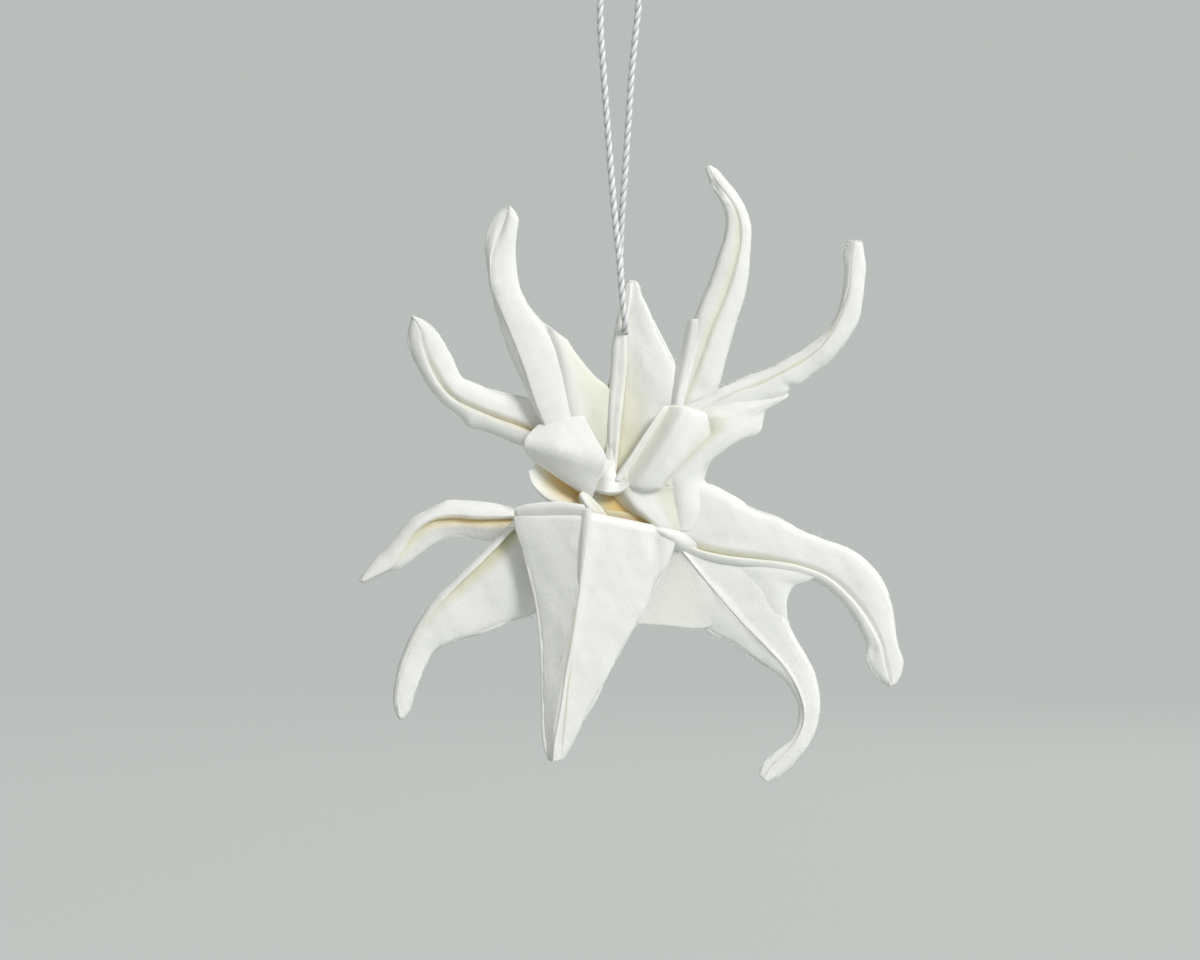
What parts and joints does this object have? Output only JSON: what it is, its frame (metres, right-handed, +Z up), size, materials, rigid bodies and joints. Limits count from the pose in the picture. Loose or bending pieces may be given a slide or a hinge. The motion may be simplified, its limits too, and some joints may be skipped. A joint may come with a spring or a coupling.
{
  "type": "origami animal ornament",
  "caption": "Octopus folded from white paper, with curled arms slit along their length, rolled eyes and a pointed mantle, hung from a loop of twisted thread.",
  "frame": {"origin": "inside the crown of the hanging thread's loop, where a hook or a twig carries it", "axes": "+X to the right and +Z up in the front view, +Y away from the viewer"},
  "size_m": [0.0706, 0.0104, 0.1104],
  "materials": {
    "paper": "matt mulberry paper with long fibres",
    "thread": "two-ply twist of white and silver yarn"
  },
  "bodies": {
    "root": {"folded_paper": "paper", "hanging_thread": "thread"}
  },
  "joints": []
}
